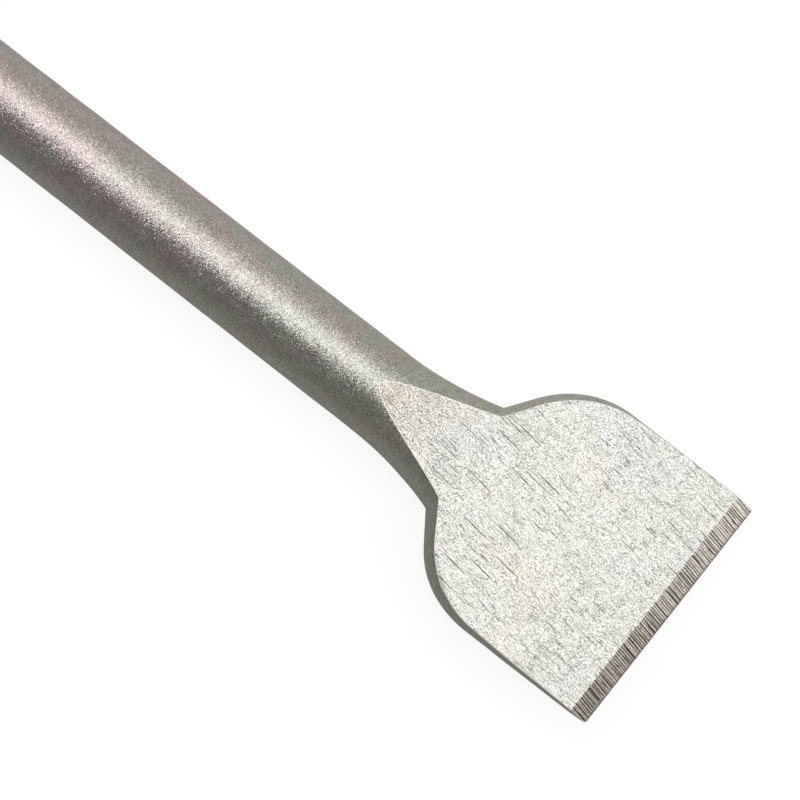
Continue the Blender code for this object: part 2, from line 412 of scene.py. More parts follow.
    def ground_reach(self, setback: np.ndarray, width: np.ndarray, side: int) -> np.ndarray:
        """Distance from the axis to a ground face's edge.

        The face is the line z = level in a frame that is rolled with the grinding, and
        its edge is where |y/a|^n + |z/b|^n reaches 1. The place is found by halving a
        span that begins at the axis and ends a little outside the section.

        Args:
            setback: Distance of each ring behind the cutting edge.
            width: Half width of each ring.
            side: 1 for the +Y edge and -1 for the -Y edge, in the rolled frame.

        Returns:
            The reach of the face on that side, zero where there is no face.
        """
        level = self.ground_level(setback)
        height = self.half_height(setback)
        power = self.exponent(setback)
        near = np.zeros_like(setback)
        far = 1.2 * width
        for _ in range(self.halvings):
            middle = (near + far) / 2
            across, up = self.rolled(side * middle, level)
            outside = np.abs(across / width) ** power + np.abs(up / height) ** power > 1
            far = np.where(outside, middle, far)
            near = np.where(outside, near, middle)
        return near

    def rolled(self, across: np.ndarray | float, up: np.ndarray) -> tuple[np.ndarray, np.ndarray]:
        """Turns places about the tool's axis by the roll of the grinding."""
        roll = math.radians(self.sizes.grinding_roll)
        return across * math.cos(roll) - up * math.sin(roll), across * math.sin(roll) + up * math.cos(roll)

    def wall(
        self,
        start: tuple[np.ndarray, np.ndarray],
        end: tuple[np.ndarray, np.ndarray],
        width: np.ndarray,
        height: np.ndarray,
        power: np.ndarray,
    ) -> tuple[np.ndarray, np.ndarray]:
        """Side of a forged section, from one point of it to another.

        The height is b sin(t) and the reach is a (1 - |sin(t)|^n)^(1/n), with the sign
        of cos(t), where t runs in equal steps, so that a round section gets equal
        angles and a side may begin a little past the top.

        Args:
            start: Reach and height where each ring's side begins.
            end: Reach and height where it ends.
            width: Half width of each ring.
            height: Half height of each ring.
            power: Exponent of each ring.

        Returns:
            Two arrays, reach across and height, each of rings by points.
        """
        turns = []
        for reach, up in (start, end):
            turn = np.arcsin(np.clip(up / height, -1, 1))
            past = np.where(turn > 0, math.pi, -math.pi) - turn
            turns.append(np.where(reach < 0, past, turn)[:, None])
        share = np.linspace(0, 1, self.side_cells + 1)[None, :]
        turn = turns[0] + (turns[1] - turns[0]) * share
        sine = np.sin(turn)
        power = power[:, None]
        across = width[:, None] * np.clip(1 - np.abs(sine) ** power, 0, 1) ** (1 / power)
        return across * np.sign(np.cos(turn)), height[:, None] * sine

    def forged_rings(self, setback: np.ndarray, top_cells: int) -> np.ndarray:
        """Rings of the forging with its ground faces.

        Each ring is a superellipse whose top and bottom the grinding cuts off at its own
        level, with a narrow rim beside the cut. Seeded waves make the faces' edges, the
        faces and the walls a little uneven.

        Args:
            setback: Distance of each ring behind the cutting edge.
            top_cells: Number of cells across a ground face.

        Returns:
            An array of rings by points by (setback, across, up).
        """
        sway = Waves(self.seed, self.wobble_waves, (1.0,))
        drift = Waves(self.seed + 1, self.wobble_waves, (1.0,))
        calm = np.clip((setback - self.sizes.edge_corner_radius) / self.calm_run, 0, 1)
        trims = [self.wobble * calm * (1 + np.tanh(wave.at(setback))) / 2 for wave in (sway, drift)]
        width = self.half_width(setback)
        height = self.half_height(setback)
        power = self.exponent(setback)
        level = self.ground_level(setback)
        reach = {side: self.ground_reach(setback, width - trims[(1 - side) // 2], side) for side in (1, -1)}
        rim = np.minimum(self.rim_width, self.rim_share * np.minimum(reach[1], reach[-1]))
        faced = level < height
        face_y, face_z = self.face_points(setback, reach[1] - rim, rim - reach[-1], top_cells)
        face_y = np.where(faced[:, None], face_y, 0.0)
        face_z = np.where(faced[:, None], face_z, height[:, None])
        top_y, top_z = self.rolled(face_y, face_z)
        plain_y, plain_z = self.rolled(0.0, height)
        drop = self.rim_drop * rim / self.rim_width
        corner = {}
        for side in (1, -1):
            edge_y, edge_z = self.rolled(side * reach[side], level)
            corner[side] = (np.where(faced, edge_y, plain_y), np.where(faced, edge_z - drop, plain_z))
        left_start = (-corner[-1][0], corner[-1][1])
        left_end = (corner[1][0], -corner[1][1])
        right_start = (-corner[-1][0], -corner[-1][1])
        left_y, left_z = self.wall(left_start, left_end, width - trims[1], height, power)
        right = self.wall(right_start, corner[1], width - trims[0], height, power)
        rings = self.joined(setback, (top_y, top_z), (-left_y, left_z), (-top_y, -top_z), right)
        flat = np.zeros(top_cells + 1)
        swell = np.sin(np.linspace(0, math.pi, self.side_cells + 1)) ** 0.5
        sides = np.concatenate([flat, swell, flat, swell])
        dents = Waves(self.seed + 3, self.dent_waves, self.dent_stretch, self.dent_count)
        hollow = (1 + np.tanh(dents.at(rings[:, :, 0], rings[:, :, 1], rings[:, :, 2]))) / 2
        pull = 1 - self.dent * hollow * sides[None, :] * calm[:, None] / self.sizes.body_radius
        rings[:, :, 1:] *= pull[:, :, None]
        return self.skew_edge(self.lean_corner(rings, setback, height), setback)

    def face_points(
        self, setback: np.ndarray, start: np.ndarray, stop: np.ndarray, top_cells: int
    ) -> tuple[np.ndarray, np.ndarray]:
        """Points across a ground face, in the frame that is rolled with the grinding.

        A faint relief of 1 + tanh of the waves sinks them below the ground level. It
        runs out at the face's edges and at the heel.

        Args:
            setback: Distance of each ring behind the cutting edge.
            start: Place across where each ring's face begins.
            stop: Place across where it ends.
            top_cells: Number of cells across the face.

        Returns:
            Two arrays, place across and height, each of rings by points.
        """
        share = np.linspace(0, 1, top_cells + 1)[None, :]
        across = start[:, None] + (stop - start)[:, None] * share
        ripple = Waves(self.seed + 2, self.face_waves, self.face_stretch)
        inside = np.sin(math.pi * share) ** 0.5
        relief = self.face_relief * (1 + np.tanh(ripple.at(setback[:, None], across))) * inside
        behind_heel = (setback - self.sizes.bevel_length)[:, None]
        relief = relief * np.clip(behind_heel / self.face_calm_run, 0, 1)
        return across, self.ground_level(setback)[:, None] - relief

    def joined(self, setback: np.ndarray, *parts: tuple[np.ndarray, np.ndarray]) -> np.ndarray:
        """Joins the top, one side, the bottom and the other side into whole rings.

        Args:
            setback: Distance of each ring behind the cutting edge.
            *parts: Place across and height of each part's points.

        Returns:
            An array of rings by points by (setback, across, up).
        """
        across = np.hstack([part[0] for part in parts])
        up = np.hstack([part[1] for part in parts])
        return np.stack([np.broadcast_to(setback[:, None], across.shape), across, up], axis=-1)

    def lean_corner(self, rings: np.ndarray, setback: np.ndarray, height: np.ndarray) -> np.ndarray:
        """Leans the corner between neck and shoulder forward, away from the mid plane.

        Each point moves forward by the lean times the square of its height as a share of
        the section's, and times a bell curve along the tool. A point on a ground face
        sinks as far as the face does there, so that it stays on the face. The shoulders
        move a little towards -Y, as the forging dies met.

        Args:
            rings: Rings of points by (setback, across, up).
            setback: Distance of each ring behind the cutting edge.
            height: Half height of each ring.

        Returns:
            The rings, moved.
        """
        z = self.sizes
        bell = np.exp(-(((setback - z.neck_corner) / self.corner_spread) ** 2))
        forward = self.corner_lean * bell[:, None] * (rings[:, :, 2] / height[:, None]) ** 2
        aside = np.exp(-(((setback - self.shoulder_middle) / self.shoulder_spread) ** 2))
        rings[:, :, 1] -= self.shoulder_shift * aside[:, None]
        rings[:, :, 0] -= forward
        rings[:, :, 2] -= np.sign(rings[:, :, 2]) * forward * z.face_slope
        return rings

    def skew_edge(self, rings: np.ndarray, setback: np.ndarray) -> np.ndarray:
        """Sets the cutting edge a little back on the -Y side, as it was ground.

        Each point moves back in step with its distance from the +Y side, by the full
        amount as far as the heel and by less and less behind it. A point on a ground
        face rises as far as the face does there, and one on a bevel by its share of it.

        Args:
            rings: Rings of points by (setback, across, up).
            setback: Distance of each ring behind the cutting edge.

        Returns:
            The rings, moved.
        """
        z = self.sizes
        behind = np.clip((setback - z.bevel_length) / self.skew_run, 0, 1)
        fade = 1 - behind**2 * (3 - 2 * behind)
        back = self.edge_skew * fade[:, None] * (0.5 - rings[:, :, 1] / z.blade_width)
        rise = back * z.face_slope * np.clip(setback / z.bevel_length, 0, 1)[:, None]
        rings[:, :, 0] += back
        rings[:, :, 2] += np.sign(rings[:, :, 2]) * rise
        return rings

    def bevel_rings(self, setback: np.ndarray) -> tuple[np.ndarray, np.ndarray]:
        """Rings of the edge bevels, with the coarse lines that grinding cut into them.

        A line is a groove along a slanted path, and its depth is a function of the place
        where that path meets the heel. It is taken off along the bevel's normal, and at
        the heel along the face, so that the heel is scalloped as grinding leaves it.

        Args:
            setback: Distance of each ring behind the cutting edge, from the heel down.

        Returns:
            The rings, and the depth of the grinding lines at each point, from 0 to 1.
        """
        z = self.sizes
        cells = self.top_cells * self.bevel_split
        rings = self.forged_rings(setback, cells)
        depth = np.zeros(rings.shape[:2])
        lean = math.tan(math.radians(self.groove_lean))
        slope = math.atan(z.bevel_slope)
        backing = 1 / math.sin(slope - math.atan(z.face_slope))
        first = cells + 1
        second = first + self.side_cells + 1
        third = second + cells + 1
        for number, (low, high, up) in enumerate(((0, first, 1), (second, third, -1))):
            across = rings[:, low:high, 1]
            start = across + (z.bevel_length - setback)[:, None] * lean
            cut = self.grinding_lines(start, setback[:, None], self.seed + 20 + number)
            ends = np.clip(np.minimum(np.arange(cells + 1), cells - np.arange(cells + 1)), 0, 1)
            cut = cut * ends[None, :]
            depth[:, low:high] = cut
            away = cut * self.groove_depth
            at_heel = (setback >= z.bevel_length - 1e-6)[:, None]
            back = np.where(at_heel, away * backing, away * math.sin(slope))
            drop = np.where(at_heel, -away * backing * z.face_slope, away * math.cos(slope))
            rings[:, low:high, 0] += back
            rings[:, low:high, 2] -= up * drop
        rings[-1, first:second, :] = self.split_sides(rings[-1, first:second, :])
        rings[-1, third:, :] = self.split_sides(rings[-1, third:, :])
        return rings, depth

    def split_sides(self, side: np.ndarray) -> np.ndarray:
        """Gathers a side's points into its two ends, where the edge's land begins.

        Args:
            side: Points of one side of the last ring.

        Returns:
            As many points, the first half at the first one and the rest at the last one.
        """
        middle = len(side) // 2
        gathered = side.copy()
        gathered[:middle] = side[0]
        gathered[middle:] = side[-1]
        return gathered

    def grinding_lines(self, start: np.ndarray, setback: np.ndarray, seed: int) -> np.ndarray:
        """Depth of the bevel's grinding lines, from 0 to 1.

        Random values on two pitches along the heel, every other one of the wider pitch
        low, are joined by straight lines and added, and their average over 0.8 mm is
        taken off, so that no part is darker than the next. Over them lie deep scores,
        each with the profile of a bell curve, which fade in and out along the line.

        Args:
            start: Place across the blade where the line through each point meets the heel.
            setback: Distance of each point behind the cutting edge.
            seed: Seed of the random draws.

        Returns:
            The depth at each point.
        """
        draw = np.random.default_rng(seed)
        half = self.sizes.blade_width
        places = -half + np.cumsum(draw.uniform(*self.line_pitch, int(4 * half / sum(self.line_pitch))))
        heights = draw.uniform(*self.line_low, places.size)
        heights[::2] = draw.uniform(*self.line_high, heights[::2].size)
        fine_places = np.arange(-half, half, self.hair_pitch)
        fine_heights = draw.uniform(0, 1, fine_places.size)
        grid = np.arange(-half, half, self.line_step)
        profile = self.line_share * np.interp(grid, places, heights)
        profile += self.hair_share * np.interp(grid, fine_places, fine_heights)
        profile -= np.convolve(profile, np.full(self.level_samples, 1 / self.level_samples), "same")
        total = np.interp(start, grid, profile + self.line_level)
        shifts = draw.uniform(-self.score_shift, self.score_shift, int(half / self.score_pitch))
        for place in np.arange(-half / 2, half / 2, self.score_pitch) + shifts:
            width = draw.uniform(*self.score_width)
            low = draw.uniform(*self.score_begin)
            high = self.sizes.bevel_length + draw.uniform(-self.score_end_shift, self.score_end_shift)
            fade_in = np.clip((setback - low) / self.score_fade, 0, 1)
            fade_out = np.clip((high - setback) / self.score_fade, 0, 1)
            score = np.exp(-(((start - place) / width) ** 2)) * fade_in * fade_out
            total = np.maximum(total, draw.uniform(*self.score_depth) * score)
        return total

    def shank_rings(self, setback: np.ndarray, radius: np.ndarray) -> np.ndarray:
        """Rings of the drive shank, with its lock grooves and open drive grooves.

        A lock groove is the near arc of a circle of radius rho about a point at height
        c over the axis, and rho shrinks at its ball-shaped ends. A drive groove is a
        flat-bottomed slot whose floor rises along a milling cutter's arc at its end.

        Args:
            setback: Distance of each ring behind the cutting edge.
            radius: Radius of the shank at each ring.

        Returns:
            An array of rings by points by (setback, across, up).
        """
        z = self.sizes
        from_end = z.length - setback
        groove = z.lock_groove_radius
        centre = z.shank_diameter / 2 - z.lock_groove_depth + groove
        first_ball = z.lock_groove_setback + groove
        last_ball = z.lock_groove_setback + z.lock_groove_length - groove
        beyond = np.maximum(np.maximum(first_ball - from_end, from_end - last_ball), 0)
        rho = np.sqrt(np.clip(groove**2 - beyond**2, (centre - radius) ** 2, None))
        cosine = (radius**2 + centre**2 - rho**2) / (2 * radius * centre)
        half_angle = np.arccos(np.clip(cosine, -1, 1))
        spread = np.arcsin(np.clip(radius * np.sin(half_angle) / rho, 0, 1))
        share = np.linspace(1, -1, self.top_cells + 1)[None, :]
        top_y = rho[:, None] * np.sin(spread[:, None] * share)
        top_z = centre - rho[:, None] * np.cos(spread[:, None] * share)
        side_y, side_z = self.slotted_side(from_end, radius, half_angle)
        return self.joined(setback, (top_y, top_z), (-side_y, side_z), (-top_y, -top_z), (side_y, -side_z))

    def slotted_side(
        self, from_end: np.ndarray, radius: np.ndarray, half_angle: np.ndarray
    ) -> tuple[np.ndarray, np.ndarray]:
        """Side of the shank's sections from top to bottom, with the drive groove in it.

        It is an arc, the slot's upper cheek, its floor, its lower cheek and an arc. In
        front of the slot, the points spread out evenly along the plain round.

        Args:
            from_end: Distance of each ring from the striking end.
            radius: Radius of each ring.
            half_angle: Half angle that the lock groove takes at the top.

        Returns:
            Two arrays, reach across and height, each of rings by points.
        """
        z = self.sizes
        runout = np.clip((from_end - z.drive_groove_length) / z.drive_groove_runout, 0, 1)
        rise = z.drive_groove_runout * (1 - np.sqrt(1 - runout**2))
        floor = np.minimum(z.shank_diameter / 2 - z.drive_groove_depth + rise, radius)
        half_slot = np.minimum(z.drive_groove_width / 2, np.sqrt(radius**2 - floor**2))
        slot_angle = np.arcsin(half_slot / radius)
        arc_cells = (self.side_cells - 2 * self.slot_side_cells - self.slot_floor_cells) // 2
        top_angle = math.pi / 2 - half_angle
        arc_share = np.linspace(0, 1, arc_cells + 1)[None, :]
        angle = top_angle[:, None] + (slot_angle - top_angle)[:, None] * arc_share
        arc_y = radius[:, None] * np.cos(angle)
        arc_z = radius[:, None] * np.sin(angle)
        fall = np.linspace(0, 1, self.slot_side_cells + 1)[None, 1:]
        lip = (radius * np.cos(slot_angle))[:, None]
        cheek_y = lip + (floor[:, None] - lip) * fall
        cheek_z = np.broadcast_to(half_slot[:, None], cheek_y.shape)
        over = np.linspace(1, -1, self.slot_floor_cells + 1)[None, 1:-1]
        floor_z = half_slot[:, None] * over
        floor_y = np.broadcast_to(floor[:, None], floor_z.shape)
        across = np.hstack([arc_y, cheek_y, floor_y, cheek_y[:, ::-1], arc_y[:, ::-1]])
        up = np.hstack([arc_z, cheek_z, floor_z, -cheek_z[:, ::-1], -arc_z[:, ::-1]])
        reach = np.hypot(across, up)
        turn = np.arctan2(up, across)
        even = top_angle[:, None] * np.linspace(1, -1, self.side_cells + 1)[None, :]
        tail = z.drive_groove_length + math.sqrt(
            z.drive_groove_runout**2 - (z.drive_groove_runout - z.drive_groove_depth) ** 2
        )
        blend = np.clip((from_end - tail) / self.slot_fade, 0, 1)[:, None]
        blend = blend * blend * (3 - 2 * blend)
        turn = turn * (1 - blend) + even * blend
        return reach * np.cos(turn), reach * np.sin(turn)

    def forged_stations(self) -> np.ndarray:
        """Setbacks of the forging's rings, closer where the form turns quickly.

        Returns:
            The setbacks in rising order.
        """
        z = self.sizes
        cone = z.cone_end - z.rear_cone_length
        corner = z.neck_corner
        every = [
            np.array([z.bevel_length + self.heel_step, z.parallel_length]),
            np.arange(z.bevel_length + self.heel_gap, z.apex - self.apex_gap[0], self.blade_step),
            np.array([corner - self.joint_gap, corner + self.joint_gap]),
            z.apex - np.array(self.before_apex),
            z.apex + np.array(self.behind_apex),
            np.arange(z.apex + self.apex_gap[1], cone - self.cone_gap, self.body_step),
            cone + np.array(self.about_cone),
        ]
        return np.unique(np.round(np.concatenate(every), 4))

    def bevel_stations(self) -> np.ndarray:
        """Setbacks of the bevels' rings, from the heel down to the cutting edge.

        Returns:
            The setbacks in falling order.
        """
        corner = self.sizes.edge_corner_radius
        rounded = corner * (1 - np.cos(np.radians(self.corner_turns)))
        straight = np.linspace(self.sizes.bevel_length, corner, self.bevel_stops)
        return np.concatenate([straight, rounded])

    def shank_stations(self) -> tuple[np.ndarray, np.ndarray]:
        """Places of the shank's rings, from the step to the striking end.

        Returns:
            The setbacks in rising order, and the radius at each.
        """
        z = self.sizes
        radius = z.shank_diameter / 2
        groove = z.lock_groove_radius
        half_chord = math.sqrt(groove**2 - (groove - z.lock_groove_depth) ** 2)
        first_ball = z.length - z.lock_groove_setback - groove
        last_ball = first_ball + 2 * groove - z.lock_groove_length
        steps = np.array(self.from_groove)
        ends = [first_ball + half_chord - steps, last_ball - half_chord + steps]
        plain = np.arange(z.cone_end, z.length - z.shank_chamfer, self.shank_step)
        last = np.array([z.length - z.shank_chamfer])
        every = np.unique(np.round(np.concatenate([plain, last] + ends), 4))
        setback = np.append(every, z.length)
        radii = np.append(np.full(every.size, radius), radius - z.shank_chamfer)
        return setback, radii


@dataclass
class ChiselMesh:
    """Puts the skin's rings together as one closed mesh, and lays it where the solid lies.

    The merge distance is in metres.
    """

    skin: ChiselSkin = field(default_factory=ChiselSkin)
    cap_rings: int = 4
    merge_distance: float = 1e-6
    sharp_angle: float = 32.0
    face_match: float = 0.005
    face_up: float = 0.9

    def ring_faces(self, start: int, rings: int, points: int) -> np.ndarray:
        """Quads between neighbouring rings.

        Args:
            start: Number of the first ring's first vertex.
            rings: Number of rings.
            points: Number of points in a ring.

        Returns:
            An array of faces by four vertex numbers, facing out.
        """
        ring, point = np.meshgrid(np.arange(rings - 1), np.arange(points), indexing="ij")
        after = (point + 1) % points
        corners = [
            ring * points + point,
            (ring + 1) * points + point,
            (ring + 1) * points + after,
            ring * points + after,
        ]
        return start + np.stack(corners, axis=-1).reshape(-1, 4)

    def bands(self, top_cells: int, top: Finish, rim: Finish, side: Finish) -> np.ndarray:
        """Finish of each cell round a ring, in the order of its points.

        Args:
            top_cells: Number of cells across a ground face.
            top: Finish of the ground faces.
            rim: Finish of the narrow bands beside them.
            side: Finish of the two sides.

        Returns:
            The number of each cell's finish.
        """
        cells = self.skin.side_cells
        half = [top.value] * top_cells + [rim.value] + [side.value] * cells + [rim.value]
        return np.array(half * 2)

    def build(self, name: str) -> bpy.types.Object:
        """Builds the chisel's mesh in its own straight frame.

        Args:
            name: Name of the new object.

        Returns:
            The object, at the origin, with its mesh in metres.
        """
        skin = self.skin
        forged = skin.forged_rings(skin.forged_stations(), skin.top_cells)
        bevel, depth = skin.bevel_rings(skin.bevel_stations())
        shank = skin.shank_rings(*skin.shank_stations())
        shrink = np.linspace(1, 0, self.cap_rings + 1)[1:, None, None]
        cap = shank[-1][None] * np.concatenate([np.ones_like(shrink), shrink, shrink], axis=-1)
        rear = np.concatenate([forged, shank, cap])
        points = rear.shape[1]
        fine_points = bevel.shape[1]
        vertices = np.concatenate([rear.reshape(-1, 3), bevel.reshape(-1, 3)])
        fine_start = rear.shape[0] * points
        quads = self.ring_faces(0, rear.shape[0], points)
        fine_quads = self.ring_faces(fine_start, bevel.shape[0], fine_points)[:, ::-1]
        rear_finish = [self.bands(skin.top_cells, Finish.FACE, Finish.RIM, Finish.FORGED)]
        rear_finish *= len(forged) - 1
        rear_finish += [np.full(points, Finish.TURNED.value)] * (len(shank) + self.cap_rings)
        fine_cells = skin.top_cells * skin.bevel_split
        fine_finish = [self.bands(fine_cells, Finish.BEVEL, Finish.BEVEL, Finish.FORGED)]
        fine_finish *= len(bevel) - 1
        joins, join_finish = self.heel_faces(fine_start, points, fine_points)
        land, land_finish = self.land_faces(fine_start + (len(bevel) - 1) * fine_points, fine_cells)
        faces = [tuple(face) for face in np.concatenate([quads, fine_quads, land]).tolist()] + joins
        finishes = np.concatenate(rear_finish + fine_finish + [land_finish, join_finish])
        place = vertices.copy()
        place[:, 0] = skin.sizes.length / 2 - vertices[:, 0]
        mesh = bpy.data.meshes.new(name)
        mesh.from_pydata((place * MM).tolist(), [], faces)
        mesh.polygons.foreach_set("material_index", finishes.astype(np.int32))
        lines = mesh.attributes.new("grinding_depth", "FLOAT", "POINT")
        depths = np.concatenate([np.zeros(fine_start), depth.reshape(-1)])
        lines.data.foreach_set("value", depths.astype(np.float32))
        self.merge(mesh)
        self.shade(mesh)
        thing = bpy.data.objects.new(name, mesh)
        bpy.context.scene.collection.objects.link(thing)
        return thing

    def heel_faces(self, fine_start: int, points: int, fine_points: int) -> tuple[list, np.ndarray]:
        """Faces between the last coarse ring and the bevel's finely divided first ring.

        Args:
            fine_start: Number of the fine ring's first vertex.
            points: Number of points in a coarse ring.
            fine_points: Number of points in a fine ring.

        Returns:
            The faces, and the finish of each.
        """
        skin = self.skin
        split = skin.bevel_split
        cells = skin.top_cells
        finish_of = self.bands(cells, Finish.FACE, Finish.RIM, Finish.FORGED)
        faces = []
        fine = 0
        for cell in range(points):
            on_face = cell % (cells + 1 + skin.side_cells + 1) < cells
            width = split if on_face else 1
            edge = [fine_start + (fine + step) % fine_points for step in range(width + 1)]
            faces.append(tuple(edge + [(cell + 1) % points, cell]))
            fine += width
        return faces, finish_of

    def land_faces(self, start: int, cells: int) -> tuple[np.ndarray, np.ndarray]:
        """Strip of faces across the cutting edge, between the two bevels.

        Args:
            start: Number of the last fine ring's first vertex.
            cells: Number of cells across a bevel.

        Returns:
            The faces, and the finish of each.
        """
        low_start = start + cells + 1 + self.skin.side_cells + 1
        place = np.arange(cells)
        top = start + place
        low = low_start + cells - place
        faces = np.stack([top, top + 1, low - 1, low], axis=-1)
        return faces, np.full(cells, Finish.RIM.value)

    def merge(self, mesh: bpy.types.Mesh) -> None:
        """Merges the points that fall together and turns every face outwards.

        Args:
            mesh: The chisel's mesh.
        """
        built = bmesh.new()
        built.from_mesh(mesh)
        bmesh.ops.remove_doubles(built, verts=built.verts, dist=self.merge_distance)
        bmesh.ops.dissolve_degenerate(built, edges=built.edges, dist=self.merge_distance / 10)
        bmesh.ops.recalc_face_normals(built, faces=built.faces)
        built.to_mesh(mesh)
        built.free()

    def shade(self, mesh: bpy.types.Mesh) -> None:
        """Shades smooth, with sharp edges at every corner and between two finishes.

        Args:
            mesh: The chisel's mesh.
        """
        mesh.shade_smooth()
        mesh.set_sharp_from_angle(angle=math.radians(self.sharp_angle))
        finish = np.empty(len(mesh.polygons), np.int32)
        mesh.polygons.foreach_get("material_index", finish)
        sizes = np.empty(len(mesh.polygons), np.int32)
        mesh.polygons.foreach_get("loop_total", sizes)
        edge_of = np.empty(len(mesh.loops), np.int32)
        mesh.loops.foreach_get("edge_index", edge_of)
        per_loop = np.repeat(finish, sizes)
        least = np.full(len(mesh.edges), len(Finish))
        most = np.full(len(mesh.edges), -1)
        np.minimum.at(least, edge_of, per_loop)
        np.maximum.at(most, edge_of, per_loop)
        sharp = np.zeros(len(mesh.edges), bool)
        mesh.edges.foreach_get("use_edge_sharp", sharp)
        mesh.edges.foreach_set("use_edge_sharp", sharp | (least != most))

    def lay_down(self, thing: bpy.types.Object, solid: bpy.types.Object, axis_height: float) -> float:
        """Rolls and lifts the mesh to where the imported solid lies.

        The roll is read from the solid's upper ground face, whose normal leans forward
        by the face's slope and sideways by the roll and the roll of the grinding.

        Args:
            thing: The chisel's object, in its own straight frame.
            solid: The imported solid.
            axis_height: Height of the tool's axis over the floor, in metres.

        Returns:
            The roll about X, in radians.
        """
        count = len(solid.data.polygons)
        normals = np.empty(count * 3)
        areas = np.empty(count)
        solid.data.polygons.foreach_get("normal", normals)
        solid.data.polygons.foreach_get("area", areas)
        normals = normals.reshape(-1, 3)
        forward = math.sin(math.atan(self.skin.sizes.face_slope))
        on_face = (abs(normals[:, 0] - forward) < self.face_match) & (normals[:, 2] > self.face_up)
        normal = (normals[on_face] * areas[on_face, None]).sum(axis=0)
        roll = -math.atan2(normal[1], normal[2]) - math.radians(self.skin.sizes.grinding_roll)
        lift = Matrix.Translation((0.0, 0.0, axis_height))
        thing.data.transform(lift @ Matrix.Rotation(roll, 4, "X"))
        thing.data.update()
        return roll

    def keep_inside(self, thing: bpy.types.Object, low: Vector, high: Vector) -> None:
        """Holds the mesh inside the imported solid's box, which its squarer edges pass by 0.1 mm.

        Args:
            thing: The chisel's object, where the solid lies.
            low: The box's lowest corner, in metres.
            high: The box's highest corner, in metres.
        """
        places = np.empty(len(thing.data.vertices) * 3)
        thing.data.vertices.foreach_get("co", places)
        inside = np.clip(places.reshape(-1, 3), np.array(low), np.array(high))
        thing.data.vertices.foreach_set("co", inside.reshape(-1))
        thing.data.update()

    def dress(self, thing: bpy.types.Object, roll: float, axis_height: float) -> None:
        """Gives the skin its finishes, in the order of its material slots.

        Args:
            thing: The chisel's object.
            roll: Roll of the tool about X, in radians.
            axis_height: Height of the tool's axis over the floor, in metres.
        """
        makers = {
            Finish.FORGED: BlastedForging("shot_blasted_forging", roll, axis_height),
            Finish.FACE: GroundFace("ground_steel_face", roll, axis_height),
            Finish.BEVEL: GroundBevel("coarse_ground_bevel", roll, axis_height),
            Finish.RIM: BurnishedRim("burnished_steel_rim", roll, axis_height),
            Finish.TURNED: TurnedShank("turned_steel_shank", roll, axis_height),
        }
        for finish in Finish:
            thing.data.materials.append(makers[finish].material())


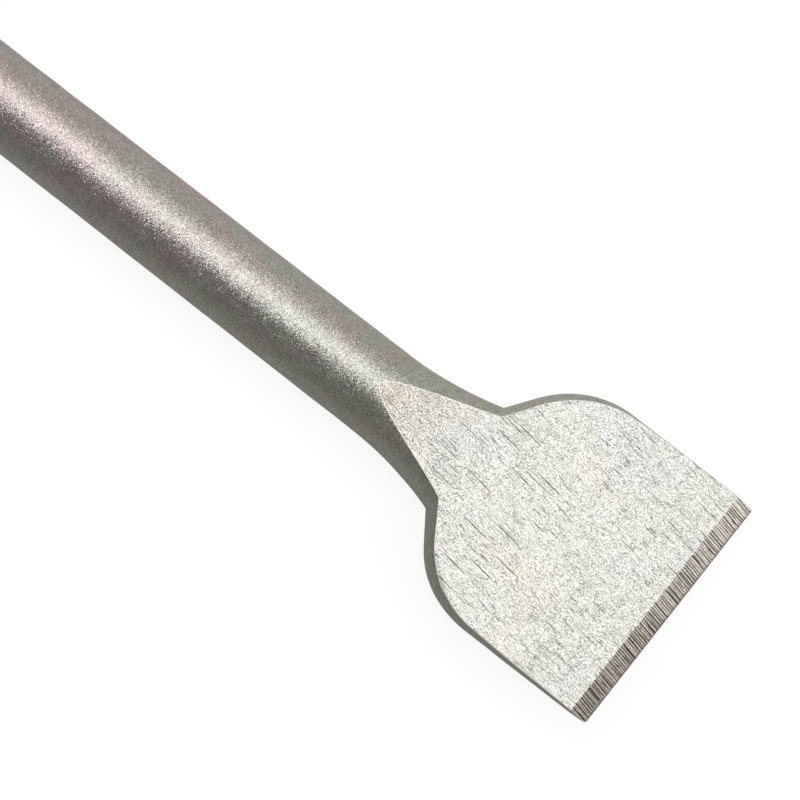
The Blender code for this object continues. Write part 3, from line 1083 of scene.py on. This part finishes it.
@dataclass(frozen=True)
class SteelFinish:
    """What all finishes of the chisel share: steel, and the tool's own coordinates.

    The axis height is in metres.
    """

    name: str
    roll: float
    axis_height: float
    glint_from: float = 0.7

    def start(self) -> tuple[bpy.types.Material, bpy.types.Node, Adder, Socket]:
        """Starts a material with metallic steel and the straight tool's coordinates.

        Returns:
            The material, its Principled shader, the function that adds a node to it, and
            a socket with the place in metres in the frame where the tool's axis is X and
            its blade lies flat.
        """
        material = bpy.data.materials.new(self.name)
        material.use_nodes = True
        add = partial(add_node, material.node_tree)
        shader = material.node_tree.nodes["Principled BSDF"]
        shader.inputs["Metallic"].default_value = 1.0
        lie = {
            "Vector": add("ShaderNodeTexCoord", out="Object"),
            "Location": (0.0, 0.0, self.axis_height),
            "Rotation": (self.roll, 0.0, 0.0),
        }
        return material, shader, add, add("ShaderNodeMapping", lie, vector_type="TEXTURE")

    def wire(self, shader: bpy.types.Node, sockets: dict[str, Socket]) -> None:
        """Links sockets to the shader's inputs by name."""
        for name, socket in sockets.items():
            shader.id_data.links.new(socket, shader.inputs[name])

    def blotches(
        self,
        add: Adder,
        place: Socket,
        size_mm: float,
        detail: float = 2.0,
        stretch: tuple[float, float, float] = (1.0, 1.0, 1.0),
        lean: float = 0.0,
    ) -> Socket:
        """Soft blotches or streaks of a real size.

        Args:
            add: Function that adds a node to the material.
            place: Socket with the place in metres.
            size_mm: Width of a blotch in millimetres.
            detail: Number of finer octaves.
            stretch: How many times longer the blotches are along each axis.
            lean: Turn of the long direction about the blade's normal, in degrees.

        Returns:
            Socket with a value from 0 to 1, mostly near a half.
        """
        turned = {"Vector": place, "Rotation": (0.0, 0.0, math.radians(lean)), "Scale": stretch}
        pattern = {
            "Vector": add("ShaderNodeMapping", turned, vector_type="TEXTURE"),
            "Scale": 0.5 / (size_mm * MM),
            "Detail": detail,
        }
        return add("ShaderNodeTexNoise", pattern)

    def facets(self, add: Adder, place: Socket, size_mm: float) -> Socket:
        """Random colour of each facet of the steel, for facets of a real size."""
        grain = {"Vector": place, "Scale": 1 / (size_mm * MM), "Randomness": 1.0}
        return add("ShaderNodeTexVoronoi", grain, out="Color")

    def toned(self, add: Adder, colour: Socket | tuple, pattern: Socket, span: Pair, shades: Pair) -> Socket:
        """Darkens and lightens a colour by a pattern.

        Args:
            add: Function that adds a node to the material.
            colour: The colour, or its socket.
            pattern: Socket with the pattern's value.
            span: Values of the pattern between which the shade turns smoothly.
            shades: What the colour is multiplied by at each end of the span.

        Returns:
            The new colour's socket.
        """
        ends = {0: pattern, 1: span[0], 2: span[1], 3: shades[0], 4: shades[1]}
        shade = add("ShaderNodeMapRange", ends, **SMOOTH)
        return add("ShaderNodeMix", {0: 1.0, 6: colour, 7: shade}, 2, **MULTIPLY)

    def tinted(
        self,
        add: Adder,
        colour: Socket | tuple,
        other: str,
        pattern: Socket,
        span: Pair,
        shares: Pair = (0.0, 1.0),
    ) -> Socket:
        """Turns a colour into another one by a pattern.

        Args:
            add: Function that adds a node to the material.
            colour: The colour, or its socket.
            other: Hex value of the other colour.
            pattern: Socket with the pattern's value.
            span: Values of the pattern between which the other colour comes in smoothly.
            shares: Share of the other colour at each end of the span.

        Returns:
            The new colour's socket.
        """
        ends = {0: pattern, 1: span[0], 2: span[1], 3: shares[0], 4: shares[1]}
        share = add("ShaderNodeMapRange", ends, **SMOOTH)
        return add("ShaderNodeMix", {0: share, 6: colour, 7: linear(other)}, 2, **BLEND)

    def glitter(self, add: Adder, facets: Socket, amount: float, under: Socket, glint: float = 1.0) -> Socket:
        """Tilts the normal by each facet's own random colour.

        Args:
            add: Function that adds a node to the material.
            facets: Random colour of each facet.
            amount: Widest tilt of most facets, as a slope.
            under: Socket with the normal below.
            glint: How many times further the few most tilted facets lean.

        Returns:
            The tilted normal's socket.
        """
        centred = add("ShaderNodeVectorMath", {0: facets, 1: (0.5, 0.5, 0.5)}, operation="SUBTRACT")
        draw = add("ShaderNodeSeparateColor", {0: facets}, out="Blue")
        few = {0: draw, 1: self.glint_from, 2: 1.0, 3: 2 * amount, 4: 2 * amount * glint}
        scale = {0: centred, "Scale": add("ShaderNodeMapRange", few, **SMOOTH)}
        lean = add("ShaderNodeVectorMath", scale, operation="SCALE")
        total = add("ShaderNodeVectorMath", {0: under, 1: lean}, operation="ADD")
        return add("ShaderNodeVectorMath", {0: total}, operation="NORMALIZE")


@dataclass(frozen=True)
class BlastedForging(SteelFinish):
    """Shot-blasted forged steel: matt grey that glitters where the light falls.

    The shot leaves facets of about 0.1 mm, each tilted its own way and a little paler
    or darker than the next, so a highlight breaks up into bright and dark grains. A few
    of them lean much further and glint. The steel is faintly pink along the bar and
    faintly green near the blade, with patches of both that the heat of tempering left.
    """

    bar: str = "#c6bfbf"
    neck: str = "#c3c4bd"
    rosy: str = "#fff9fa"
    green: str = "#f9fffb"
    speck: str = "#7a736b"
    bar_end_mm: float = 22.0
    neck_end_mm: float = 78.0
    drift_mm: float = 7.0
    wander_mm: float = 50.0
    temper_mm: float = 2.2
    cloud_mm: float = 1.1
    wear_mm: float = 1.5
    pit_mm: float = 0.3
    grain_mm: float = 0.1
    facet_tilt: float = 0.18
    glint: float = 2.7
    dimple_mm: float = 0.6
    dimple_depth_mm: float = 0.004
    smooth: float = 0.28
    rough: float = 0.35

    def material(self) -> bpy.types.Material:
        """Makes the material.

        Returns:
            The shot-blasted steel.
        """
        material, shader, add, place = self.start()
        drift = self.blotches(add, place, self.drift_mm, 3.0)
        centred = add("ShaderNodeMath", {0: drift, 1: 0.5}, operation="SUBTRACT")
        wander = add("ShaderNodeMath", {0: centred, 1: self.wander_mm * MM}, operation="MULTIPLY")
        along = add("ShaderNodeSeparateXYZ", {0: place}, out="X")
        along = add("ShaderNodeMath", {0: along, 1: wander}, operation="ADD")
        ends = (self.bar_end_mm * MM, self.neck_end_mm * MM)
        colour = self.tinted(add, linear(self.bar), self.neck, along, ends)
        temper = self.blotches(add, place, self.temper_mm, 1.0, (1.5, 1.0, 1.0))
        temper = self.tinted(add, linear(self.rosy), self.green, temper, span=(0.36, 0.64))
        colour = add("ShaderNodeMix", {0: 1.0, 6: colour, 7: temper}, 2, **MULTIPLY)
        facets = self.facets(add, place, self.grain_mm)
        draw = add("ShaderNodeSeparateColor", {0: facets})
        colour = self.toned(add, colour, draw, span=(0.0, 1.0), shades=(0.58, 1.3))
        cloud = self.blotches(add, place, self.cloud_mm)
        colour = self.toned(add, colour, cloud, span=(0.3, 0.7), shades=(0.95, 1.05))
        pits = self.blotches(add, place, self.pit_mm, 1.0)
        colour = self.tinted(add, colour, self.speck, pits, span=(0.74, 0.79), shares=(0.0, 0.75))
        worn = self.blotches(add, place, self.wear_mm)
        rough = add("ShaderNodeMapRange", {0: worn, 1: 0.3, 2: 0.7, 3: self.smooth, 4: self.rough}, **SMOOTH)
        dimples = self.blotches(add, place, self.dimple_mm, 1.0)
        dimples = add("ShaderNodeBump", {"Height": dimples, "Distance": self.dimple_depth_mm * MM})
        normal = self.glitter(add, facets, self.facet_tilt, dimples, self.glint)
        self.wire(shader, {"Base Color": colour, "Roughness": rough, "Normal": normal})
        return material


@dataclass(frozen=True)
class GroundFace(SteelFinish):
    """Surface-ground steel: pale and finely grained, with dark scratches along the blade.

    The grain is drawn 0.07 mm across, finer than a pixel, so that it shows as a salt and
    pepper of single pixels. The wheel's own lines lie about 0.1 mm apart, and over them
    run hair-thin scratches of three lengths, each given as the width and length of its
    cells and half its thickness. All of it slants the way the wheel ran. Heat left faint
    straw and blue tints, and the face is a little darker and warmer at its apex.
    """

    steel: str = "#c7c8c3"
    dull: str = "#c9cac5"
    straw: str = "#cfcbc1"
    blue: str = "#c5c9cc"
    apex: str = "#f0eae5"
    scratch: str = "#171513"
    apex_mm: float = 73.0
    pale_from_mm: float = 87.0
    lean: float = -6.5
    patch_mm: float = 3.6
    straw_mm: float = 6.0
    blue_mm: float = 5.0
    grain_mm: float = 0.07
    line_mm: float = 0.11
    line_stretch: float = 34.0
    crowd_mm: float = 2.4
    long_mm: tuple[Pair, float] = ((0.9, 34.0), 0.08)
    middle_mm: tuple[Pair, float] = ((0.6, 13.0), 0.066)
    short_mm: tuple[Pair, float] = ((0.4, 5.0), 0.052)
    fan: float = 1.0
    stroke_core: float = 0.6
    faintest_stroke: float = 0.05
    scratch_depth_mm: float = 0.008
    facet_tilt: float = 0.1
    smooth: float = 0.32
    rough: float = 0.36

    def strokes(self, add: Adder, place: Socket, cell_mm: Pair, half_mm: float, lean: float) -> Socket:
        """Thin strokes that taper at both ends, one to a cell and each of its own darkness.

        A stroke is the part of a long cell within a small distance of its middle.

        Args:
            add: Function that adds a node to the material.
            place: Socket with the place in metres.
            cell_mm: Width and length of a cell in millimetres.
            half_mm: Half the thickness of a stroke, in millimetres.
            lean: Turn of the strokes about the blade's normal, in degrees.

        Returns:
            Socket with the darkness, from 0 to 1.
        """
        size = (cell_mm[1] * MM, cell_mm[0] * MM, 1.0)
        turned = {"Vector": place, "Rotation": (0.0, 0.0, math.radians(lean)), "Scale": size}
        turned = add("ShaderNodeMapping", turned, vector_type="TEXTURE")
        cell = {"Vector": turned, "Scale": 1.0, "Randomness": 1.0}
        away = add("ShaderNodeTexVoronoi", cell, out="Distance", voronoi_dimensions="2D")
        half = half_mm / cell_mm[0]
        inside = {0: away, 1: self.stroke_core * half, 2: half, 3: 1.0, 4: 0.0}
        inside = add("ShaderNodeMapRange", inside, **SMOOTH)
        draw = add("ShaderNodeSeparateColor", {0: away.node.outputs["Color"]})
        strength = {0: draw, 1: 0.15, 2: 0.7, 3: self.faintest_stroke, 4: 1.0}
        strength = add("ShaderNodeMapRange", strength, **SMOOTH)
        return add("ShaderNodeMath", {0: inside, 1: strength}, operation="MULTIPLY")

    def material(self) -> bpy.types.Material:
        """Makes the material.

        Returns:
            The ground steel.
        """
        material, shader, add, place = self.start()
        patches = self.blotches(add, place, self.patch_mm, 3.0, (2.2, 1.0, 1.0), self.lean)
        patches = add("ShaderNodeMapRange", {0: patches, 1: 0.35, 2: 0.65}, **SMOOTH)
        colour = add("ShaderNodeMix", {0: patches, 6: linear(self.dull), 7: linear(self.steel)}, 2, **BLEND)
        warm = self.blotches(add, place, self.straw_mm, 1.0, (1.3, 1.0, 1.0))
        colour = self.tinted(add, colour, self.straw, warm, span=(0.46, 0.7), shares=(0.0, 0.8))
        cool = self.blotches(add, place, self.blue_mm, 1.0)
        colour = self.tinted(add, colour, self.blue, cool, span=(0.56, 0.74), shares=(0.0, 0.6))
        facets = self.facets(add, place, self.grain_mm)
        draw = add("ShaderNodeSeparateColor", {0: facets})
        colour = self.toned(add, colour, draw, span=(0.45, 0.86), shades=(1.28, 0.02))
        lines = self.blotches(add, place, self.line_mm, 0.0, (self.line_stretch, 1.0, 1.0), self.lean)
        colour = self.toned(add, colour, lines, span=(0.28, 0.72), shades=(0.88, 1.07))
        along = add("ShaderNodeSeparateXYZ", {0: place}, out="X")
        fade = add("ShaderNodeMapRange", {0: along, 1: self.apex_mm * MM, 2: self.pale_from_mm * MM})
        tint = add("ShaderNodeMix", {0: fade, 6: linear(self.apex), 7: (1.0, 1.0, 1.0, 1.0)}, 2, **BLEND)
        colour = add("ShaderNodeMix", {0: 1.0, 6: colour, 7: tint}, 2, **MULTIPLY)
        crowd = self.blotches(add, place, self.crowd_mm, 2.0, (2.0, 1.0, 1.0), self.lean)
        crowd = add("ShaderNodeMapRange", {0: crowd, 1: 0.35, 2: 0.62, 3: 0.25, 4: 1.0}, **SMOOTH)
        marks = self.strokes(add, place, *self.long_mm, self.lean)
        for (cell_mm, half_mm), turn in ((self.middle_mm, -self.fan), (self.short_mm, self.fan)):
            more = self.strokes(add, place, cell_mm, half_mm, self.lean + turn)
            more = add("ShaderNodeMath", {0: more, 1: crowd}, operation="MULTIPLY")
            marks = add("ShaderNodeMath", {0: marks, 1: more}, operation="MAXIMUM")
        colour = add("ShaderNodeMix", {0: marks, 6: colour, 7: linear(self.scratch)}, 2, **BLEND)
        rough = add("ShaderNodeMapRange", {0: patches, 3: self.rough, 4: self.smooth})
        relief = {"Height": marks, "Distance": self.scratch_depth_mm * MM}
        cuts = add("ShaderNodeBump", relief, invert=True)
        normal = self.glitter(add, facets, self.facet_tilt, cuts)
        self.wire(shader, {"Base Color": colour, "Roughness": rough, "Normal": normal})
        return material


@dataclass(frozen=True)
class GroundBevel(SteelFinish):
    """Coarsely ground cutting bevel: brown-grey, with deep lines across its narrow width.

    The lines are cut into the mesh, about 0.4 mm apart. Their depth darkens the steel as
    painted shade, and the steel is painted paler towards the blade's upper side, where the
    lamp is, as painted light. The hair lines between them are finer still in the real steel,
    and are drawn 0.07 mm wide so that they show. The last 0.4 mm before the cutting edge is
    darkened as painted shade.
    """

    ridge: str = "#f4eee5"
    # Painted shade: the colour at the deepest part of the grinding lines.
    groove: str = "#1e1b18"
    # Painted shade: the colour of the strip before the cutting edge.
    edge: str = "#6d6b64"
    half_width_mm: float = 20.0
    # Painted shade and light: shades of the bevel's -Y side, away from the lamp, and its +Y side, towards it.
    painted_shade_side: float = 0.66
    painted_light_side: float = 1.3
    front_mm: float = 125.0
    painted_edge_shade_mm: float = 0.42
    edge_skew_mm: float = 0.37
    hair_mm: float = 0.07
    hair_stretch: float = 12.0
    lean: float = -8.5
    grain_mm: float = 0.12
    facet_tilt: float = 0.16
    roughness: float = 0.4

    def material(self) -> bpy.types.Material:
        """Makes the material.

        Returns:
            The coarsely ground steel.
        """
        material, shader, add, place = self.start()
        depth = add("ShaderNodeAttribute", out="Fac", attribute_name="grinding_depth")
        # Painted shade: the steel darkens with the depth of the grinding lines.
        colour = self.tinted(add, linear(self.ridge), self.groove, depth, span=(0.26, 0.68))
        across = add("ShaderNodeSeparateXYZ", {0: place}, out="Y")
        # Painted light: the bevel is darker on its -Y side and paler on its +Y side, where the lamp is.
        reach = self.half_width_mm * MM
        pale = {0: across, 1: -reach, 2: reach, 3: self.painted_shade_side, 4: self.painted_light_side}
        pale = add("ShaderNodeMapRange", pale)
        colour = add("ShaderNodeMix", {0: 1.0, 6: colour, 7: pale}, 2, **MULTIPLY)
        hair = self.blotches(add, place, self.hair_mm, 0.0, (self.hair_stretch, 1.0, 1.0), self.lean)
        colour = self.toned(add, colour, hair, span=(0.25, 0.75), shades=(0.7, 1.12))
        facets = self.facets(add, place, self.grain_mm)
        draw = add("ShaderNodeSeparateColor", {0: facets})
        colour = self.toned(add, colour, draw, span=(0.0, 1.0), shades=(0.6, 1.2))
        along = add("ShaderNodeSeparateXYZ", {0: place}, out="X")
        skew = add("ShaderNodeMapRange", {0: across, 1: -reach, 2: reach, 3: self.edge_skew_mm * MM, 4: 0.0})
        along = add("ShaderNodeMath", {0: along, 1: skew}, operation="ADD")
        # Painted shade: the last strip before the cutting edge turns darker.
        ends = ((self.front_mm - self.painted_edge_shade_mm) * MM, self.front_mm * MM)
        colour = self.tinted(add, colour, self.edge, along, ends, shares=(0.0, 0.9))
        normal = self.glitter(add, facets, self.facet_tilt, add("ShaderNodeNewGeometry", out="Normal"))
        shader.inputs["Roughness"].default_value = self.roughness
        self.wire(shader, {"Base Color": colour, "Normal": normal})
        return material


@dataclass(frozen=True)
class BurnishedRim(SteelFinish):
    """Narrow burr along a ground face and at the cutting edge: bright, rubbed steel.

    It is darkened along the blade's straight sides, as painted shade.
    """

    bright: str = "#e2e1db"
    # Painted shade: where the rim's darkening begins and where it is full.
    painted_shade_start_mm: float = 92.0
    painted_shade_full_mm: float = 104.0
    wear_mm: float = 0.3
    roughness: float = 0.34

    def material(self) -> bpy.types.Material:
        """Makes the material.

        Returns:
            The burnished steel.
        """
        material, shader, add, place = self.start()
        wear = self.blotches(add, place, self.wear_mm)
        colour = self.toned(add, linear(self.bright), wear, span=(0.3, 0.7), shades=(0.7, 1.02))
        # Painted shade: the rim darkens towards the blade's front, along its straight sides.
        along = add("ShaderNodeSeparateXYZ", {0: place}, out="X")
        ends = (self.painted_shade_start_mm * MM, self.painted_shade_full_mm * MM)
        colour = self.toned(add, colour, along, ends, shades=(0.88, 0.6))
        shader.inputs["Roughness"].default_value = self.roughness
        self.wire(shader, {"Base Color": colour})
        return material


@dataclass(frozen=True)
class TurnedShank(SteelFinish):
    """Turned and hardened shank: smoother steel with fine rings round it.

    The lathe's rings are drawn 0.18 mm apart, coarser than real ones, so that they show.
    """

    pale: str = "#bdb8b1"
    shadow: str = "#a39f98"
    drift_mm: float = 4.0
    ring_mm: float = 0.18
    ring_stretch: float = 30.0
    ring_depth_mm: float = 0.004
    roughness: float = 0.28

    def material(self) -> bpy.types.Material:
        """Makes the material.

        Returns:
            The turned steel.
        """
        material, shader, add, place = self.start()
        drift = self.blotches(add, place, self.drift_mm, 3.0)
        colour = self.tinted(add, linear(self.shadow), self.pale, drift, span=(0.35, 0.65))
        rings = self.blotches(add, place, self.ring_mm, 1.0, (1.0, self.ring_stretch, self.ring_stretch))
        colour = self.toned(add, colour, rings, span=(0.3, 0.7), shades=(0.9, 1.05))
        normal = add("ShaderNodeBump", {"Height": rings, "Distance": self.ring_depth_mm * MM})
        shader.inputs["Roughness"].default_value = self.roughness
        self.wire(shader, {"Base Color": colour, "Normal": normal})
        return material


@dataclass(frozen=True)
class Studio:
    """Pale floor, soft light and the camera that looks down on the chisel.

    The axis height, the floor, the lamp and the clip range are in metres. Each studio
    level says how far a direction points towards +Y, from -1 to 1, and how bright it is.
    """

    roll: float
    axis_height: float
    camera_distance_mm: float = 1400.0
    view_roll: float = 8.8
    turn: float = 37.84
    pixels_per_mm: float = 6.846
    picture_pixels: int = 800
    edge_to_centre_mm: float = 50.62
    centre_offset_mm: float = 0.84
    sensor_mm: float = 36.0
    floor_size: float = 12.0
    # Painted shadow: for all but camera rays, the floor is darker on the tool's -Y side and pale on its +Y
    # side, so the steel reflects a shadow there.
    floor_painted_shadow_side: str = "#95968f"
    floor_pale_side: str = "#d2d1ce"
    floor_shade: str = "#787878"
    floor_white: float = 0.885
    floor_mirrored_white: float = 0.1
    floor_blend: float = 0.03
    key_azimuth: float = 90.0
    key_tilt: float = 13.8
    key_distance: float = 1.6
    key_size: Pair = (2.4, 0.92)
    key_level: float = 1.36
    key_target: float = 0.06
    clip_range: Pair = (0.01, 100.0)
    studio_tint: tuple[float, float, float] = (1.0, 0.955, 0.905)
    studio_levels: tuple[Pair, ...] = (
        (-1.0, 0.2),
        (-0.88, 0.27),
        (-0.6, 0.225),
        (-0.25, 0.155),
        (0.05, 0.51),
        (0.35, 0.97),
        (0.55, 1.0),
        (0.78, 0.8),
        (1.0, 0.43),
    )
    front_mm: float = 125.0

    def view_axes(self) -> tuple[Vector, Vector, Vector]:
        """Axes of the view.

        Returns:
            The directions along the tool, across it, and towards the camera.
        """
        lean = -self.roll - math.radians(self.view_roll)
        across = Vector((0.0, math.cos(lean), -math.sin(lean)))
        towards = Vector((0.0, math.sin(lean), math.cos(lean)))
        return Vector((1.0, 0.0, 0.0)), across, towards

    def add_camera(self) -> None:
        """Adds the camera, rolled so that the tool points to the lower right."""
        along, across, towards = self.view_axes()
        turn = math.radians(self.turn)
        right = math.cos(turn) * along + math.sin(turn) * across
        up = -math.sin(turn) * along + math.cos(turn) * across
        middle = Vector(((self.front_mm - self.edge_to_centre_mm) * MM, 0.0, self.axis_height))
        middle += self.centre_offset_mm * MM * across
        data = bpy.data.cameras.new("studio_camera")
        data.sensor_width = self.sensor_mm
        seen = self.picture_pixels / self.pixels_per_mm
        data.lens = self.sensor_mm * self.camera_distance_mm / seen
        data.clip_start, data.clip_end = self.clip_range
        camera = bpy.data.objects.new("studio_camera", data)
        turned = Matrix((right, up, towards)).transposed().to_4x4()
        camera.matrix_world = Matrix.Translation(middle + towards * self.camera_distance_mm * MM) @ turned
        bpy.context.scene.collection.objects.link(camera)
        bpy.context.scene.camera = camera

    def add_key_light(self) -> None:
        """Adds the soft rectangular lamp over the tool's upper side, which points at the blade."""
        width, depth = self.key_size
        data = bpy.data.lights.new("key_softbox", "AREA")
        data.shape = "RECTANGLE"
        data.size, data.size_y = width, depth
        data.energy = self.key_level * math.pi * width * depth
        lamp = bpy.data.objects.new("key_softbox", data)
        turn = math.radians(self.key_azimuth)
        tilt = math.radians(self.key_tilt)
        flat = math.sin(tilt)
        heading = Vector((flat * math.cos(turn), flat * math.sin(turn), math.cos(tilt)))
        along = Vector((1.0, 0.0, 0.0))
        side = (along - along.dot(heading) * heading).normalized()
        turned = Matrix((side, heading.cross(side), heading)).transposed().to_4x4()
        target = Vector((self.key_target, 0.0, 0.0))
        lamp.matrix_world = Matrix.Translation(target + heading * self.key_distance) @ turned
        bpy.context.scene.collection.objects.link(lamp)

    def add_floor(self) -> None:
        """Adds a large pale floor, which looks white and keeps a soft shadow; other rays see a painted shadow
        on its -Y side.
        """
        bpy.ops.mesh.primitive_grid_add(size=self.floor_size, x_subdivisions=4, y_subdivisions=4)
        floor = bpy.context.object
        floor.name = "studio_floor"
        material = bpy.data.materials.new("pale_floor")
        material.use_nodes = True
        material.node_tree.nodes.clear()
        add = partial(add_node, material.node_tree)
        camera = add("ShaderNodeLightPath", out="Is Camera Ray")
        glossy = camera.node.outputs["Is Glossy Ray"]
        through = camera.node.outputs["Is Transmission Ray"]
        mirrored = add("ShaderNodeMath", {0: glossy, 1: through}, operation="MAXIMUM")
        mirrored = add("ShaderNodeMath", {0: mirrored, 1: self.floor_mirrored_white}, operation="MULTIPLY")
        seen = add("ShaderNodeMath", {0: camera, 1: self.floor_white}, operation="MULTIPLY")
        strength = add("ShaderNodeMath", {0: seen, 1: mirrored}, operation="ADD")
        white = add("ShaderNodeEmission", {"Strength": strength})
        # Painted shadow: a darker floor colour on the tool's -Y side, for all rays but the camera's.
        across = add("ShaderNodeSeparateXYZ", {0: add("ShaderNodeTexCoord", out="Object")}, out="Y")
        side = add("ShaderNodeMapRange", {0: across, 1: -self.floor_blend, 2: self.floor_blend})
        colours = {0: side, 6: linear(self.floor_painted_shadow_side), 7: linear(self.floor_pale_side)}
        colours = {0: camera, 6: add("ShaderNodeMix", colours, 2, **BLEND), 7: linear(self.floor_shade)}
        card = add("ShaderNodeBsdfDiffuse", {"Color": add("ShaderNodeMix", colours, 2, **BLEND)})
        both = add("ShaderNodeAddShader", {0: card, 1: white})
        add("ShaderNodeOutputMaterial", {"Surface": both})
        floor.data.materials.append(material)

    def set_world(self) -> None:
        """Sets a grey studio, paler on the tool's upper side, behind a white backdrop."""
        world = bpy.data.worlds.new("studio_world")
        world.use_nodes = True
        tree = world.node_tree
        add = partial(add_node, tree)
        across = add("ShaderNodeSeparateXYZ", {0: add("ShaderNodeTexCoord", out="Generated")}, out="Y")
        spread = add("ShaderNodeMapRange", {0: across, 1: -1.0, 2: 1.0})
        side = add("ShaderNodeValToRGB", {0: spread})
        stops = side.node.color_ramp.elements
        while len(stops) < len(self.studio_levels):
            stops.new(0.5)
        for stop, (place, level) in zip(stops, self.studio_levels):
            stop.position = (place + 1) / 2
            stop.color = (*(level * share for share in self.studio_tint), 1.0)
        colours = {0: add("ShaderNodeLightPath", out="Is Camera Ray"), 6: side, 7: (1.0, 1.0, 1.0, 1.0)}
        tree.links.new(add("ShaderNodeMix", colours, 2, **BLEND), tree.nodes["Background"].inputs["Color"])
        bpy.context.scene.world = world

    def build(self) -> None:
        """Builds the whole studio."""
        self.add_floor()
        self.add_key_light()
        self.set_world()
        self.add_camera()
        bpy.context.scene.view_settings.view_transform = "Standard"


def main() -> None:
    """Builds the chisel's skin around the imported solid, and the studio round it."""
    logging.basicConfig(level=logging.INFO)
    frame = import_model()
    solid = frame["nodes"][SOLID_NODE]
    maker = ChiselMesh()
    piece = maker.build("chisel_steel")
    low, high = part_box(SOLID_NODE)
    axis_height = (low.z + high.z) / 2
    roll = maker.lay_down(piece, solid, axis_height)
    maker.keep_inside(piece, low, high)
    maker.dress(piece, roll, axis_height)
    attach(piece, "root")
    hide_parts(SOLID_NODE)
    log.info("%s: %d faces, rolled %.2f degrees", piece.name, len(piece.data.polygons), math.degrees(roll))
    Studio(roll, axis_height).build()


if __name__ == "__main__":
    main()
